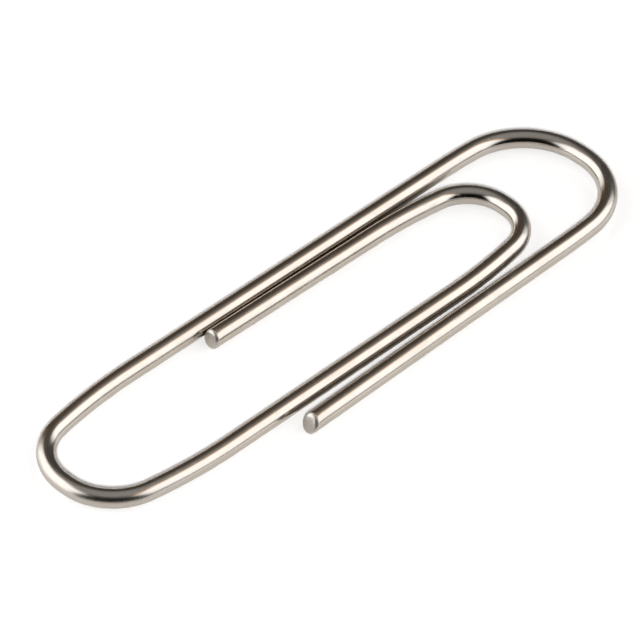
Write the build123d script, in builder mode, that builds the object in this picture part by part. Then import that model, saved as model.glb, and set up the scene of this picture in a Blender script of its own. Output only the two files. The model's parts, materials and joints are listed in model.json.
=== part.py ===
# A paper clip bent from one length of round steel wire, lying flat. Millimetres and degrees.
# +X runs along the clip to its large bend, +Y across it to the back leg, and +Z is up.
# The origin is on the surface that the clip lies on, under the middle of its outline.
# The wire is followed from its outer cut end to its inner one. A heading is the direction
# of travel, counted from +X, and every bend turns left.
# Each bend is two halves that meet at its crown, where the wire twists as the clip springs.
import os
from math import cos, radians, sin

from build123d import *

os.makedirs("parts", exist_ok=True)

# Wire
wire_diameter = 0.9
outer_cut_slant = 24  # the sheared ends lean back by this much at the top
tongue_cut_slant = 12
cut_rounding = 0.16

# Legs, each measured between its bends or from its bend to the middle of its cut end
outer_leg_length = 16.9
back_leg_length = 20.1
loop_inset = 6  # how much shorter the inner leg is than the back leg
tongue_length = 10.1

# How far each leg turns off the line of the back leg
outer_splay = 1.5
inner_splay = 0.55
tongue_splay = 0.45

# Widths and clearances
clip_width = 8.55  # over the wire, at the mouth of the large bend
leg_gap = 0.42  # outer leg to inner leg, where they come closest
tongue_gap = 0.1  # cut end of the tongue to the back leg

# Bends: a gentle lead arc off each leg, a tight arc after it, and a short straight over the crown
lead_radius = 26
crown_length = 0.3
large_lead_angle = 3.6
end_lead_angle = 10.5
small_lead_angle = 9

wire_radius = wire_diameter / 2
inner_leg_length = back_leg_length - loop_inset

# Headings of the legs and of the crowns between them
outer_heading = outer_splay
large_crown = 90
back_heading = 180
end_crown = 270
inner_heading = 360 + inner_splay
small_crown = 450
tongue_heading = 540 - tongue_splay


def leg_rise(length, heading):
    """How far a straight run moves to the left of heading zero."""
    return length * sin(radians(heading))


def arc_rise(radius, start, end):
    """How far an arc that turns left from one heading to another moves to the left."""
    return radius * (cos(radians(start)) - cos(radians(end)))


def fixed_rise(lead_angle, start, crown, end):
    """The rise of a bend without its tight arcs: both lead arcs and the straight over the crown."""
    lead_in = arc_rise(lead_radius, start, start + lead_angle)
    lead_out = arc_rise(lead_radius, end - lead_angle, end)
    return lead_in + leg_rise(crown_length, crown) + lead_out


def bend_rise(radius, lead_angle, start, crown, end):
    """The rise of a whole bend."""
    tight = arc_rise(radius, start + lead_angle, end - lead_angle)
    return tight + fixed_rise(lead_angle, start, crown, end)


def tight_radius(rise, lead_angle, start, crown, end):
    """The radius of the tight arcs in a bend of a given rise."""
    tight_rise = rise - fixed_rise(lead_angle, start, crown, end)
    return tight_rise / arc_rise(1, start + lead_angle, end - lead_angle)


# The large bend spans the clip's width
large_rise = clip_width - wire_diameter
large_radius = tight_radius(large_rise, large_lead_angle, outer_heading, large_crown, back_heading)

# The end bend brings the inner leg to its gap from the outer leg. Headings here are counted
# from the outer leg, so that a rise is a distance from it.
large_turns = (0, large_crown - outer_splay, back_heading - outer_splay)
end_turns = (back_heading - outer_splay, end_crown - outer_splay, inner_heading - outer_splay)
loop_rise = bend_rise(large_radius, large_lead_angle, *large_turns)
loop_rise += leg_rise(back_leg_length, back_heading - outer_splay)
loop_rise += leg_rise(inner_leg_length, inner_heading - outer_splay)
end_radius = tight_radius(wire_diameter + leg_gap - loop_rise, end_lead_angle, *end_turns)

# The small bend brings the end of the tongue to its gap from the back leg
tongue_rise = bend_rise(end_radius, end_lead_angle, back_heading, end_crown, inner_heading)
tongue_rise += leg_rise(inner_leg_length, inner_heading)
tongue_rise += leg_rise(tongue_length, tongue_heading)
small_rise = -wire_diameter - tongue_gap - tongue_rise
small_radius = tight_radius(small_rise, small_lead_angle, inner_heading, small_crown, tongue_heading)


def straight(start, heading, length):
    """A straight run of the centreline."""
    with BuildLine() as run:
        PolarLine(start, length, heading)
    return run.wire()


def bend_to_crown(leg, radius, lead_angle, turn):
    """The first half of a bend, which carries on from a leg: lead arc, tight arc, half the crown."""
    with BuildLine() as run:
        lead = JernArc(leg @ 1, leg % 1, lead_radius, lead_angle)
        tight = JernArc(lead @ 1, lead % 1, radius, turn - lead_angle)
        Line(tight @ 1, tight @ 1 + (tight % 1) * (crown_length / 2))
    return run.wire()


def bend_from_crown(half, radius, lead_angle, turn):
    """The second half of a bend, which carries on from the first."""
    with BuildLine() as run:
        crown = Line(half @ 1, half @ 1 + (half % 1) * (crown_length / 2))
        tight = JernArc(crown @ 1, crown % 1, radius, turn - lead_angle)
        JernArc(tight @ 1, tight % 1, lead_radius, lead_angle)
    return run.wire()


def centreline(start):
    """The runs of the wire's centreline, in order, from its outer cut end."""
    outer = straight(start, outer_heading, outer_leg_length)
    large_in = bend_to_crown(outer, large_radius, large_lead_angle, large_crown - outer_heading)
    large_out = bend_from_crown(large_in, large_radius, large_lead_angle, back_heading - large_crown)
    back = straight(large_out @ 1, back_heading, back_leg_length)
    end_in = bend_to_crown(back, end_radius, end_lead_angle, end_crown - back_heading)
    end_out = bend_from_crown(end_in, end_radius, end_lead_angle, inner_heading - end_crown)
    inner = straight(end_out @ 1, inner_heading, inner_leg_length)
    small_in = bend_to_crown(inner, small_radius, small_lead_angle, small_crown - inner_heading)
    small_out = bend_from_crown(small_in, small_radius, small_lead_angle, tongue_heading - small_crown)
    tongue = straight(small_out @ 1, tongue_heading, tongue_length)
    return outer, large_in, large_out, back, end_in, end_out, inner, small_in, small_out, tongue


# The first pass starts over the origin, and the second is moved by the middle of its extent
first_start = Vector(0, 0, wire_radius)
first_pass = Compound(centreline(first_start)).bounding_box()
wire_start = first_start - Vector(first_pass.center().X, first_pass.center().Y, 0)
outer_run, *joined_runs, tongue_run = centreline(wire_start)
joined_names = (
    "large_bend_outer_half",
    "large_bend_back_half",
    "back_leg",
    "end_bend_back_half",
    "end_bend_inner_half",
    "inner_leg",
    "small_bend_inner_half",
    "small_bend_tongue_half",
)

# Runs that go on into another at both ends: plain wire, cut square where the runs meet
for name, run in zip(joined_names, joined_runs):
    with BuildPart() as joined:
        with BuildSketch(Plane(origin=run @ 0, z_dir=run % 0)):
            Circle(wire_radius)
        sweep(path=run)
    joined.part.label = name
    export_step(joined.part, f"parts/{name}.step")

# Free legs: drawn past their end, then sheared at a slant that leans back at the top
free_legs = (
    ("outer_leg", outer_run @ 1, outer_run @ 0, outer_cut_slant),
    ("tongue_leg", tongue_run @ 0, tongue_run @ 1, tongue_cut_slant),
)
for name, bend_end, cut_end, cut_slant in free_legs:
    outward = (cut_end - bend_end).normalized()
    slant = radians(cut_slant)
    shear = Plane(origin=cut_end, z_dir=outward * cos(slant) + Vector(0, 0, sin(slant)))
    with BuildPart() as leg:
        with BuildSketch(Plane(origin=bend_end, z_dir=outward)):
            Circle(wire_radius)
        extrude(amount=(cut_end - bend_end).length + wire_diameter)
        split(bisect_by=shear, keep=Keep.BOTTOM)
        cut_face = leg.faces().sort_by(Axis(bend_end, outward))[-1]
        fillet(cut_face.edges(), radius=cut_rounding)
    leg.part.label = name
    export_step(leg.part, f"parts/{name}.step")
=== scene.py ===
import json
from math import atan2, cos, degrees, pi, radians, sin

import bmesh
import bpy
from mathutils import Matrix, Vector


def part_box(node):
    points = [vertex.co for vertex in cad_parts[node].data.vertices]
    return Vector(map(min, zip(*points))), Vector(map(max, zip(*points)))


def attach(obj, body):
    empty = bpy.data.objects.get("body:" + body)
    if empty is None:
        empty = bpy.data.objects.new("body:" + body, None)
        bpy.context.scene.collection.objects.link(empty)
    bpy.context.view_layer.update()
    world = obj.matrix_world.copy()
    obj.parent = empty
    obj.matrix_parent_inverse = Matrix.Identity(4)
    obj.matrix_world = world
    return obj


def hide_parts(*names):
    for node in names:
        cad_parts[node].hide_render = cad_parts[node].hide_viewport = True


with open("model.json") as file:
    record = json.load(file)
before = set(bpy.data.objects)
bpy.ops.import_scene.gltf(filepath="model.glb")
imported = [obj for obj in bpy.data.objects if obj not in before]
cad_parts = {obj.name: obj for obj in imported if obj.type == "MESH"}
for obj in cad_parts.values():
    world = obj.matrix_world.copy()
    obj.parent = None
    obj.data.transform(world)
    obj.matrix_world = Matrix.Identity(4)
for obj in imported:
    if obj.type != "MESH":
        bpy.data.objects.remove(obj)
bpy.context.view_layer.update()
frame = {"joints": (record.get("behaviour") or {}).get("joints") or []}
scene = bpy.context.scene
scene.view_settings.view_transform = "Standard"

# The wire is bent in millimetres, which suit the operators' tolerances, and then brought to metres
MM = 0.001
UP = Vector((0, 0, 1))

# The wire's thickness, its back leg and its crowns come from the frame
leg_low, leg_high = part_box("back_leg")
wire_radius = (leg_high.z - leg_low.z) / 2 / MM
crowns = {joint["name"]: Vector(joint["pos_m"]) / MM for joint in frame["joints"]}
large_crown = crowns["outer_leg_flex"]
end_crown = crowns["inner_loop_flex"]
small_crown = crowns["tongue_flex"]

# Legs in millimetres, and how far each turns off the line of the back leg, in degrees
outer_leg_length = 16.9
back_leg_length = (leg_high.x - leg_low.x) / MM
inner_leg_length = 14.1
tongue_length = 10.1
outer_splay = 1.5
inner_splay = 0.55
tongue_splay = 0.45

# Bends in millimetres and degrees: straight over the crown, tight arc, gentle lead arc into the leg
crown_length = 0.3
lead_radius = 26
large_radius, large_lead = 3.613, 3.6
end_radius, end_lead = 2.7937, 10.5
small_radius, small_lead = 2.2301, 9
quarter_turn = 90
to_left, to_right = 1, -1

# Sheared ends: how far they lean back at the top, and how the edge is rounded
outer_cut_slant = 24
tongue_cut_slant = 12
cut_rounding = 0.16
cut_rounding_steps = 6

# How far along the legs the bends' burnish fades out
burnish_fade = 4

# Fineness of the mesh in millimetres and degrees
wire_sides = 64
ring_spacing = 1
tight_step = 3
lead_step = 1.5
smooth_up_to = 30

# How close a point counts as on the cut, on a run of the wire or near its centreline, and how far
# a face of the cut must look along the wire
cut_slack = cut_rounding / 100
run_slack = ring_spacing / 100
near_wire = 2 * wire_radius
cut_face_lean = 0.1


def straight(length):
    """A straight run of wire."""
    return {"length": length}


def turn(radius, angle):
    """A run of wire bent to one radius."""
    return {"length": radius * radians(angle), "radius": radius, "angle": angle}


def half_bend(radius, lead, angle):
    """A bend from its crown to its leg."""
    return [straight(crown_length / 2), turn(radius, angle - lead), turn(lead_radius, lead)]


def heading_vector(heading):
    """The direction of travel for a heading in degrees from +X."""
    return Vector((cos(radians(heading)), sin(radians(heading)), 0))


def start_ring(name, place, heading):
    """An open ring of the wire's section, square to the heading, ready to be drawn out."""
    bpy.ops.object.select_all(action="DESELECT")
    bpy.ops.mesh.primitive_circle_add(
        vertices=wire_sides,
        radius=wire_radius,
        fill_type="NOTHING",
        location=place,
        rotation=(pi / 2, 0, radians(heading) + pi / 2),
    )
    wire = bpy.context.object
    wire.name = wire.data.name = name
    bpy.ops.object.transform_apply(location=True, rotation=True, scale=True)
    bpy.ops.object.mode_set(mode="EDIT")
    bpy.ops.mesh.select_mode(type="EDGE")
    bpy.ops.mesh.select_all(action="SELECT")
    return wire


def draw_straight(run, spare=0):
    """Extrudes the selected ring along its heading, with some to spare if it is to be sheared."""
    length = run["length"] + spare
    count = max(1, round(length / ring_spacing))
    step = heading_vector(run["heading"]) * (length / count)
    for _ in range(count):
        bpy.ops.mesh.extrude_region_move(TRANSFORM_OT_translate={"value": step})


def draw_turn(run):
    """Spins the selected ring round the middle of its bend. The operator counts clockwise."""
    fineness = tight_step if run["radius"] < lead_radius else lead_step
    bpy.ops.mesh.spin(
        steps=max(2, round(run["angle"] / fineness)),
        angle=radians(-run["side"] * run["angle"]),
        center=run["centre"],
        axis=UP,
    )


def walk(place, heading, side, runs):
    """Gives each run its start, heading, distance along the wire and, if bent, its middle."""
    along = 0
    for run in runs:
        run.update(start=place, heading=heading, side=side, along=along)
        if "radius" in run:
            left = UP.cross(heading_vector(heading))
            run["centre"] = place + left * side * run["radius"]
            heading += side * run["angle"]
            place = run["centre"] - UP.cross(heading_vector(heading)) * side * run["radius"]
        else:
            place = place + heading_vector(heading) * run["length"]
        along += run["length"]
    return place, heading, along


def select_only(wire, faces=None, edges=None):
    """Selects only the faces or edges of an edited mesh that a test picks out."""
    bpy.ops.mesh.select_all(action="DESELECT")
    bpy.ops.mesh.select_mode(type="FACE" if faces else "EDGE")
    mesh = bmesh.from_edit_mesh(wire.data)
    for item in mesh.faces if faces else mesh.edges:
        if (faces or edges)(item):
            item.select_set(True)
    bmesh.update_edit_mesh(wire.data)


def shear_end(wire, place, heading, cut_slant):
    """Cuts the drawn-out end at a slant, rounds the edge of the cut and bares the steel there."""
    slant = radians(cut_slant)
    ahead = heading_vector(heading)
    lean = ahead * cos(slant) + UP * sin(slant)
    bpy.ops.mesh.select_all(action="SELECT")
    bpy.ops.mesh.bisect(
        plane_co=place, plane_no=lean, clear_outer=True, use_fill=True, threshold=cut_slack
    )

    def on_cut(edge):
        return all(abs((vertex.co - place).dot(lean)) < cut_slack for vertex in edge.verts)

    def off_the_side(face):
        near = (face.calc_center_median() - place).length < near_wire
        return near and face.normal.dot(ahead) > cut_face_lean

    select_only(wire, edges=on_cut)
    bpy.ops.mesh.bevel(offset=cut_rounding, segments=cut_rounding_steps, affect="EDGES")
    select_only(wire, faces=off_the_side)
    wire.data.materials.append(sheared_steel)
    wire.active_material_index = 1
    bpy.ops.object.material_slot_assign()


def unbend(point, runs):
    """Where a point of the bent wire lay on the straight one, and how far the bend stretched it."""
    for run in runs:
        if "radius" in run:
            spoke = point - run["centre"]
            first = run["start"] - run["centre"]
            swing = run["side"] * degrees(atan2(first.cross(spoke).z, first.xy.dot(spoke.xy)))
            off_line = run["radius"] - spoke.xy.length
            if -lead_step < swing < run["angle"] + lead_step and abs(off_line) < near_wire:
                share = min(max(swing / run["angle"], 0), 1)
                along = run["along"] + share * run["length"]
                return along, run["side"] * off_line, -off_line / run["radius"]
        else:
            ahead = heading_vector(run["heading"])
            along = (point - run["start"]).dot(ahead)
            off_line = (point - run["start"]).dot(UP.cross(ahead))
            past = wire_radius if run is runs[-1] else run_slack
            if -run_slack < along < run["length"] + past and abs(off_line) < near_wire:
                return run["along"] + along, off_line, 0
    raise ValueError(f"{tuple(point)} is on no run of the wire")


def bend_share(along, runs):
    """One in a tight bend, fading to nought along the legs on either side."""
    bends = [run for run in runs if run.get("radius", lead_radius) < lead_radius]
    reach = min(max(run["along"] - along, along - run["along"] - run["length"], 0) for run in bends)
    return max(0, 1 - reach / burnish_fade)


def note_drawn_places(wire, runs, drawn_from, way):
    """Stores, for the finish, where each point lay on the straight wire and how it was bent."""
    places = []
    stretches = []
    shares = []
    for vertex in wire.data.vertices:
        along, off_line, stretch = unbend(vertex.co, runs)
        places.extend((drawn_from + way * along, way * off_line, vertex.co.z - wire_radius))
        stretches.append(stretch)
        shares.append(bend_share(along, runs))
    notes = wire.data.attributes
    notes.new("drawn_place", "FLOAT_VECTOR", "POINT").data.foreach_set("vector", places)
    notes.new("bend_stretch", "FLOAT", "POINT").data.foreach_set("value", stretches)
    notes.new("bend_share", "FLOAT", "POINT").data.foreach_set("value", shares)


def bend_wire(name, place, heading, side, runs, drawn_from, way=1, cut_slant=None):
    """One length of wire, drawn out from a crown along its runs, with closed ends."""
    end_place, end_heading, length = walk(place, heading, side, runs)
    wire = start_ring(name, place, heading)
    for run in runs:
        if "radius" in run:
            draw_turn(run)
        else:
            draw_straight(run, wire_radius if cut_slant and run is runs[-1] else 0)
    bpy.ops.mesh.select_all(action="SELECT")
    bpy.ops.mesh.fill_holes(sides=0)
    bpy.ops.mesh.select_all(action="SELECT")
    bpy.ops.mesh.normals_make_consistent(inside=False)
    wire.data.materials.append(nickel_plate)
    if cut_slant:
        shear_end(wire, end_place, end_heading, cut_slant)
    bpy.ops.object.mode_set(mode="OBJECT")
    bpy.ops.object.shade_smooth_by_angle(angle=radians(smooth_up_to))
    note_drawn_places(wire, runs, drawn_from, way)
    wire.scale = (MM, MM, MM)
    bpy.ops.object.transform_apply(location=True, rotation=True, scale=True)
    return wire, drawn_from + way * length


# Nickel's colour in the clouds of its plating along the legs, and where the bends were burnished
leg_tint = (0.655, 0.605, 0.545, 1)
leg_tint_pale = (0.705, 0.655, 0.595, 1)
bend_tint = (0.68, 0.645, 0.60, 1)
cloud_scale, cloud_detail = 0.9, 3

# Die lines along the drawn wire, in waves to a millimetre along it, across it and up it
die_line_waves = (0.05, 14, 14)
die_line_detail, die_line_harshness = 4, 0.6
die_line_low, die_line_high = 0.3, 0.7
roughness_low, roughness_high = 0.14, 0.25
die_line_strength, die_line_depth = 0.6, 0.004 * MM

# Rubs that cross the wire at a slant, and how far they and the stretch of a bend dull the plating
rub_turn = (0.5, 0.3, 0.6)
rub_waves = (1.1, 4, 4)
rub_detail, rub_distortion = 6, 0.6
rub_low, rub_high = 0.56, 0.72
rub_dulling = 0.12
stretch_dulling = 0.3

# Bare steel where the wire was sheared
steel_tint = (0.68, 0.64, 0.59, 1)
steel_tint_pale = (0.82, 0.78, 0.73, 1)
grain_scale, grain_detail = 16, 5
grain_roughness_low, grain_roughness_high = 0.3, 0.48
grain_strength, grain_depth = 0.5, 0.01 * MM

# Where the noise of a mottled metal counts as dark and as pale
mottle_dark, mottle_pale = 0.35, 0.65

# A Mix node's sockets for colours
MIX_FIRST, MIX_SECOND, MIX_RESULT = 6, 7, 2


def new_material(name):
    """A material, with its tree and its shader."""
    material = bpy.data.materials.new(name)
    material.use_nodes = True
    tree = material.node_tree
    return material, tree, tree.nodes["Principled BSDF"]


def feed(tree, socket, value):
    """Links a socket to another one, or sets it to a plain value."""
    if isinstance(value, bpy.types.NodeSocket):
        tree.links.new(value, socket)
    else:
        socket.default_value = value


def combine(tree, kind, operation, *values):
    """A maths node of a kind, fed by sockets or plain values."""
    node = tree.nodes.new(kind)
    node.operation = operation
    for socket, value in zip(node.inputs, values):
        feed(tree, socket, value)
    return node.outputs["Value"]


def span(tree, value, low, high, first=0, last=1, shape="SMOOTHSTEP"):
    """Goes from first to last as a value goes from low to high."""
    node = tree.nodes.new("ShaderNodeMapRange")
    node.interpolation_type = shape
    node.inputs["From Min"].default_value = low
    node.inputs["From Max"].default_value = high
    node.inputs["To Min"].default_value = first
    node.inputs["To Max"].default_value = last
    tree.links.new(value, node.inputs["Value"])
    return node.outputs["Result"]


def mix_colours(tree, share, first, second):
    """A blend of two colours, each a socket or a plain colour."""
    node = tree.nodes.new("ShaderNodeMix")
    node.data_type = "RGBA"
    tree.links.new(share, node.inputs["Factor"])
    feed(tree, node.inputs[MIX_FIRST], first)
    feed(tree, node.inputs[MIX_SECOND], second)
    return node.outputs[MIX_RESULT]


def read_note(tree, name, output="Fac"):
    """What the wire's mesh says at each point under a name."""
    node = tree.nodes.new("ShaderNodeAttribute")
    node.attribute_name = name
    return node.outputs[output]


def drawn_noise(tree, place, waves, detail):
    """Noise laid along the drawn wire, with its mapping."""
    mapping = tree.nodes.new("ShaderNodeMapping")
    mapping.inputs["Scale"].default_value = waves
    tree.links.new(place, mapping.inputs["Vector"])
    noise = tree.nodes.new("ShaderNodeTexNoise")
    noise.inputs["Scale"].default_value = 1
    noise.inputs["Detail"].default_value = detail
    tree.links.new(mapping.outputs["Vector"], noise.inputs["Vector"])
    return noise, mapping


def add_relief(tree, shader, height, strength, depth):
    """Raises fine marks on the surface."""
    relief = tree.nodes.new("ShaderNodeBump")
    relief.inputs["Strength"].default_value = strength
    relief.inputs["Distance"].default_value = depth
    tree.links.new(height, relief.inputs["Height"])
    tree.links.new(relief.outputs["Normal"], shader.inputs["Normal"])


def make_mottle():
    """Uneven metal: a mask from fine noise, and a tint between two colours that follows it."""
    group = bpy.data.node_groups.new("mottle", "ShaderNodeTree")
    inputs = {
        "Place": "NodeSocketVector",
        "Scale": "NodeSocketFloat",
        "Detail": "NodeSocketFloat",
        "Dark": "NodeSocketColor",
        "Pale": "NodeSocketColor",
    }
    for name, kind in inputs.items():
        group.interface.new_socket(name, in_out="INPUT", socket_type=kind)
    group.interface.new_socket("Mask", in_out="OUTPUT", socket_type="NodeSocketFloat")
    group.interface.new_socket("Tint", in_out="OUTPUT", socket_type="NodeSocketColor")
    given = group.nodes.new("NodeGroupInput").outputs
    result = group.nodes.new("NodeGroupOutput").inputs
    noise = group.nodes.new("ShaderNodeTexNoise")
    group.links.new(given["Place"], noise.inputs["Vector"])
    group.links.new(given["Scale"], noise.inputs["Scale"])
    group.links.new(given["Detail"], noise.inputs["Detail"])
    mask = noise.outputs["Fac"]
    pale = span(group, mask, mottle_dark, mottle_pale, shape="LINEAR")
    group.links.new(mask, result["Mask"])
    group.links.new(mix_colours(group, pale, given["Dark"], given["Pale"]), result["Tint"])
    return group


def add_mottle(tree, place, scale, detail, dark, pale):
    """Places the mottle in a material, with values of its own."""
    node = tree.nodes.new("ShaderNodeGroup")
    node.node_tree = mottle
    tree.links.new(place, node.inputs["Place"])
    node.inputs["Scale"].default_value = scale
    node.inputs["Detail"].default_value = detail
    node.inputs["Dark"].default_value = dark
    node.inputs["Pale"].default_value = pale
    return node.outputs["Mask"], node.outputs["Tint"]


def make_nickel_plate():
    """Bright nickel over drawn steel: cloudy plating, die lines, rubs and dulled bends."""
    material, tree, shader = new_material("nickel_plate")
    shader.inputs["Metallic"].default_value = 1
    place = read_note(tree, "drawn_place", "Vector")

    _, tint = add_mottle(tree, place, cloud_scale, cloud_detail, leg_tint, leg_tint_pale)
    burnished = mix_colours(tree, read_note(tree, "bend_share"), tint, bend_tint)
    tree.links.new(burnished, shader.inputs["Base Color"])

    die_lines, _ = drawn_noise(tree, place, die_line_waves, die_line_detail)
    die_lines.inputs["Roughness"].default_value = die_line_harshness
    lines = die_lines.outputs["Fac"]
    gloss = span(
        tree, lines, die_line_low, die_line_high, roughness_low, roughness_high, shape="LINEAR"
    )
    stretch = read_note(tree, "bend_stretch")
    dulled = combine(tree, "ShaderNodeMath", "MULTIPLY_ADD", stretch, stretch_dulling, gloss)

    rubs, rubs_mapping = drawn_noise(tree, place, rub_waves, rub_detail)
    rubs_mapping.inputs["Rotation"].default_value = rub_turn
    rubs.inputs["Distortion"].default_value = rub_distortion
    rubbed = span(tree, rubs.outputs["Fac"], rub_low, rub_high, last=rub_dulling)
    worn = combine(tree, "ShaderNodeMath", "ADD", dulled, rubbed)
    tree.links.new(worn, shader.inputs["Roughness"])

    add_relief(tree, shader, lines, die_line_strength, die_line_depth)
    return material


def make_sheared_steel():
    """Bare steel where the wire was cut: grey and grainy."""
    material, tree, shader = new_material("sheared_steel")
    shader.inputs["Metallic"].default_value = 1
    place = read_note(tree, "drawn_place", "Vector")
    grain, tint = add_mottle(tree, place, grain_scale, grain_detail, steel_tint, steel_tint_pale)
    tree.links.new(tint, shader.inputs["Base Color"])
    gloss = span(tree, grain, 0, 1, grain_roughness_low, grain_roughness_high, shape="LINEAR")
    tree.links.new(gloss, shader.inputs["Roughness"])
    add_relief(tree, shader, grain, grain_strength, grain_depth)
    return material


mottle = make_mottle()
nickel_plate = make_nickel_plate()
sheared_steel = make_sheared_steel()

# The wire, from the crown of its large bend to both of its ends
back_span, drawn_to = bend_wire(
    "back_span_wire",
    large_crown,
    quarter_turn,
    to_left,
    [
        *half_bend(large_radius, large_lead, quarter_turn),
        straight(back_leg_length),
        *reversed(half_bend(end_radius, end_lead, quarter_turn)),
    ],
    drawn_from=0,
)
inner_arm, drawn_to = bend_wire(
    "inner_arm_wire",
    end_crown,
    3 * quarter_turn,
    to_left,
    [
        *half_bend(end_radius, end_lead, quarter_turn + inner_splay),
        straight(inner_leg_length),
        *reversed(half_bend(small_radius, small_lead, quarter_turn - inner_splay)),
    ],
    drawn_from=drawn_to,
)
tongue, _ = bend_wire(
    "tongue_wire",
    small_crown,
    quarter_turn,
    to_left,
    [*half_bend(small_radius, small_lead, quarter_turn - tongue_splay), straight(tongue_length)],
    drawn_from=drawn_to,
    cut_slant=tongue_cut_slant,
)
outer_arm, _ = bend_wire(
    "outer_arm_wire",
    large_crown,
    -quarter_turn,
    to_right,
    [*half_bend(large_radius, large_lead, quarter_turn - outer_splay), straight(outer_leg_length)],
    drawn_from=0,
    way=-1,
    cut_slant=outer_cut_slant,
)

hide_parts("large_bend_back_half", "back_leg", "end_bend_back_half")
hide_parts("end_bend_inner_half", "inner_leg", "small_bend_inner_half")
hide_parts("small_bend_tongue_half", "tongue_leg")
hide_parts("outer_leg", "large_bend_outer_half")
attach(back_span, "back_span")
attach(inner_arm, "inner_arm")
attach(tongue, "tongue")
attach(outer_arm, "outer_arm")

# Camera, in metres, with its film in millimetres. The clip is turned to the left in the picture and
# seen from above at a slant.
clip_turn = radians(44.43)
camera_height = radians(41.95)
camera_distance = 0.3307
camera_reach = 10
film_width = 36
picture_side = 640
origin_pixel = Vector((337.37, 327.85))
pixels_per_metre = 22170
right = Vector((cos(clip_turn), -sin(clip_turn), 0))
away = Vector((sin(clip_turn), cos(clip_turn), 0))
toward_camera = UP * sin(camera_height) - away * cos(camera_height)
picture_up = UP * cos(camera_height) + away * sin(camera_height)

# Table and the light that shines on it alone, in metres and watts
table_radius = 1.2
table_sides = 128
table_white = (0.6, 0.6, 0.6, 1)
table_in_metal = (0.39, 0.375, 0.357, 1)
table_roughness = 0.12
table_light_distance = 0.9
table_light_rise = radians(38.3)
table_light_size = 0.1
table_light_power = 16.2

# Softboxes, in metres. Each fades over a share of the way from its middle to its edge, and spills
# colour above and below, where the fade has come down to a share of the full light. Places on a
# softbox go from nought to one, and the upper spill takes over from the lower one at half height.
softbox_distance = 0.9
softbox_middle = 0.5
fade_share = 0.5
spill_share = 0.35
upper_from, upper_to = 0.4, 0.6
white_spill = (0.21, 0.2, 0.19, 1)
warm_spill = (0.42, 0.2, 0.05, 1)
black = (0, 0, 0, 1)
white = (1, 1, 1, 1)
right_softbox = {
    "width": 1.9,
    "height": 1.3,
    "rise": radians(33),
    "swing": 0,
    "radiance": 1.5,
    "upper_spill": warm_spill,
    "lower_spill": white_spill,
}
left_softbox = {
    "width": 2.0,
    "height": 1.6,
    "rise": radians(22),
    "swing": radians(8),
    "radiance": 1.55,
    "upper_spill": white_spill,
    "lower_spill": white_spill,
}

# Room: its walls change from front to back and from left to right, and its ceiling starts overhead,
# each between two cosines of the direction looked in
front_wall = (0.006, 0.005, 0.004, 1)
back_wall = (0.062, 0.058, 0.053, 1)
back_wall_left = (0.085, 0.052, 0.028, 1)
ceiling_colour = (0.3, 0.292, 0.275, 1)
back_from, back_to = -0.4, 0.4
left_from, left_to = -0.2, 0
ceiling_from, ceiling_to = 0.65, 0.97


def aim_at_clip(thing, direction):
    """Turns a camera or light that stands off in some direction to face the clip."""
    thing.rotation_euler = (-direction).to_track_quat("-Z", "Y").to_euler()


def add_camera():
    """A long lens, placed so that the clip's origin lands on its pixel."""
    camera = bpy.data.objects.new("camera", bpy.data.cameras.new("camera"))
    scene.collection.objects.link(camera)
    offset = origin_pixel - Vector((picture_side, picture_side)) / 2
    middle = (picture_up * offset.y - right * offset.x) / pixels_per_metre
    camera.location = middle + toward_camera * camera_distance
    aim_at_clip(camera, toward_camera)
    camera.data.sensor_width = film_width
    camera.data.lens = pixels_per_metre * camera_distance * film_width / picture_side
    camera.data.clip_end = camera_reach
    scene.camera = camera


def add_table():
    """A glossy white table top, which the metal mirrors darker than the camera sees it."""
    bpy.ops.object.select_all(action="DESELECT")
    bpy.ops.mesh.primitive_circle_add(vertices=table_sides, radius=table_radius, fill_type="NGON")
    table = bpy.context.object
    table.name = "table"
    material, tree, shader = new_material("white_table")
    shader.inputs["Roughness"].default_value = table_roughness
    rays = tree.nodes.new("ShaderNodeLightPath").outputs
    mirrored = combine(
        tree, "ShaderNodeMath", "MAXIMUM", rays["Is Glossy Ray"], rays["Is Transmission Ray"]
    )
    colour = mix_colours(tree, mirrored, table_white, table_in_metal)
    tree.links.new(colour, shader.inputs["Base Color"])
    table.data.materials.append(material)
    return table


def add_table_light(table):
    """A small light by the camera, a little lower, that brings only the table to white."""
    lamp = bpy.data.lights.new("table_light", "AREA")
    lamp.shape = "DISK"
    lamp.size = table_light_size
    lamp.energy = table_light_power
    light = bpy.data.objects.new("table_light", lamp)
    scene.collection.objects.link(light)
    direction = UP * sin(table_light_rise) - away * cos(table_light_rise)
    light.location = direction * table_light_distance
    aim_at_clip(light, direction)
    lit_by_it = bpy.data.collections.new("lit_by_table_light")
    lit_by_it.objects.link(table)
    light.light_linking.receiver_collection = lit_by_it
    light.visible_glossy = False


def from_edge(tree, place):
    """Rises from nought at either edge of a softbox to one where its fade ends."""
    distance = combine(tree, "ShaderNodeMath", "PINGPONG", place, softbox_middle)
    return span(tree, distance, 0, softbox_middle * fade_share)


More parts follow.
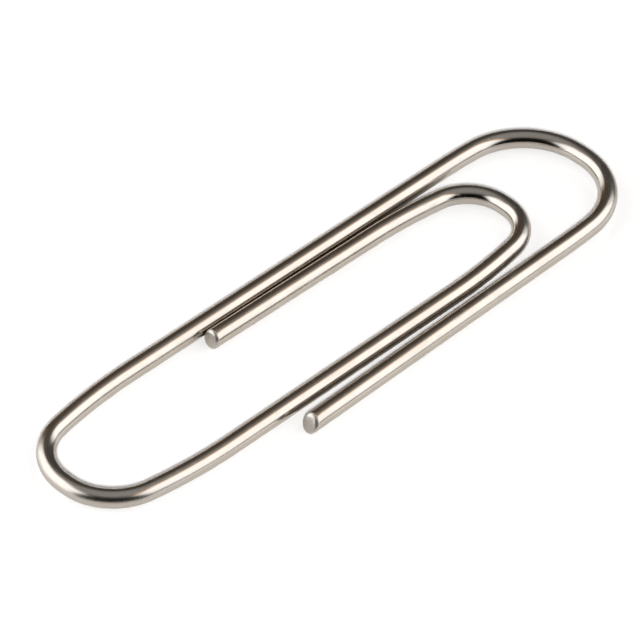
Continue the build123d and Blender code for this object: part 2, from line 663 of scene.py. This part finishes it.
def add_softbox(name, side, width, height, rise, swing, radiance, upper_spill, lower_spill):
    """A large soft light beside the clip, facing it, that fades through a spill at its edges."""
    lamp = bpy.data.lights.new(name, "AREA")
    lamp.shape = "RECTANGLE"
    lamp.size = width
    lamp.size_y = height
    lamp.energy = radiance * width * height * pi
    lamp.use_nodes = True
    tree = lamp.node_tree
    geometry = tree.nodes.new("ShaderNodeNewGeometry")
    place = tree.nodes.new("ShaderNodeSeparateXYZ")
    tree.links.new(geometry.outputs["Parametric"], place.inputs["Vector"])
    inward = from_edge(tree, place.outputs["X"])
    upward = from_edge(tree, place.outputs["Y"])
    upper = span(tree, place.outputs["Y"], upper_from, upper_to)
    spill = mix_colours(tree, upper, lower_spill, upper_spill)
    edge = mix_colours(tree, span(tree, upward, 0, spill_share, shape="LINEAR"), black, spill)
    panel = mix_colours(tree, span(tree, upward, spill_share, 1, shape="LINEAR"), edge, white)
    glow = mix_colours(tree, inward, black, panel)
    tree.links.new(glow, tree.nodes["Emission"].inputs["Color"])
    softbox = bpy.data.objects.new(name, lamp)
    scene.collection.objects.link(softbox)
    level = right * side * cos(swing) + away * sin(swing)
    direction = level * cos(rise) + UP * sin(rise)
    softbox.location = direction * softbox_distance
    aim_at_clip(softbox, direction)


def light_room():
    """A dark room, lighter beyond the clip and warm at its far left, with a dim ceiling."""
    world = bpy.data.worlds.new("studio")
    world.use_nodes = True
    scene.world = world
    tree = world.node_tree
    direction = tree.nodes.new("ShaderNodeTexCoord").outputs["Generated"]
    beyond = combine(tree, "ShaderNodeVectorMath", "DOT_PRODUCT", direction, away)
    sideways = combine(tree, "ShaderNodeVectorMath", "DOT_PRODUCT", direction, right)
    height = combine(tree, "ShaderNodeVectorMath", "DOT_PRODUCT", direction, UP)
    back = mix_colours(tree, span(tree, sideways, left_from, left_to), back_wall_left, back_wall)
    walls = mix_colours(tree, span(tree, beyond, back_from, back_to), front_wall, back)
    room = mix_colours(tree, span(tree, height, ceiling_from, ceiling_to), walls, ceiling_colour)
    tree.links.new(room, tree.nodes["Background"].inputs["Color"])


add_camera()
add_table_light(add_table())
add_softbox("right_softbox", 1, **right_softbox)
add_softbox("left_softbox", -1, **left_softbox)
light_room()
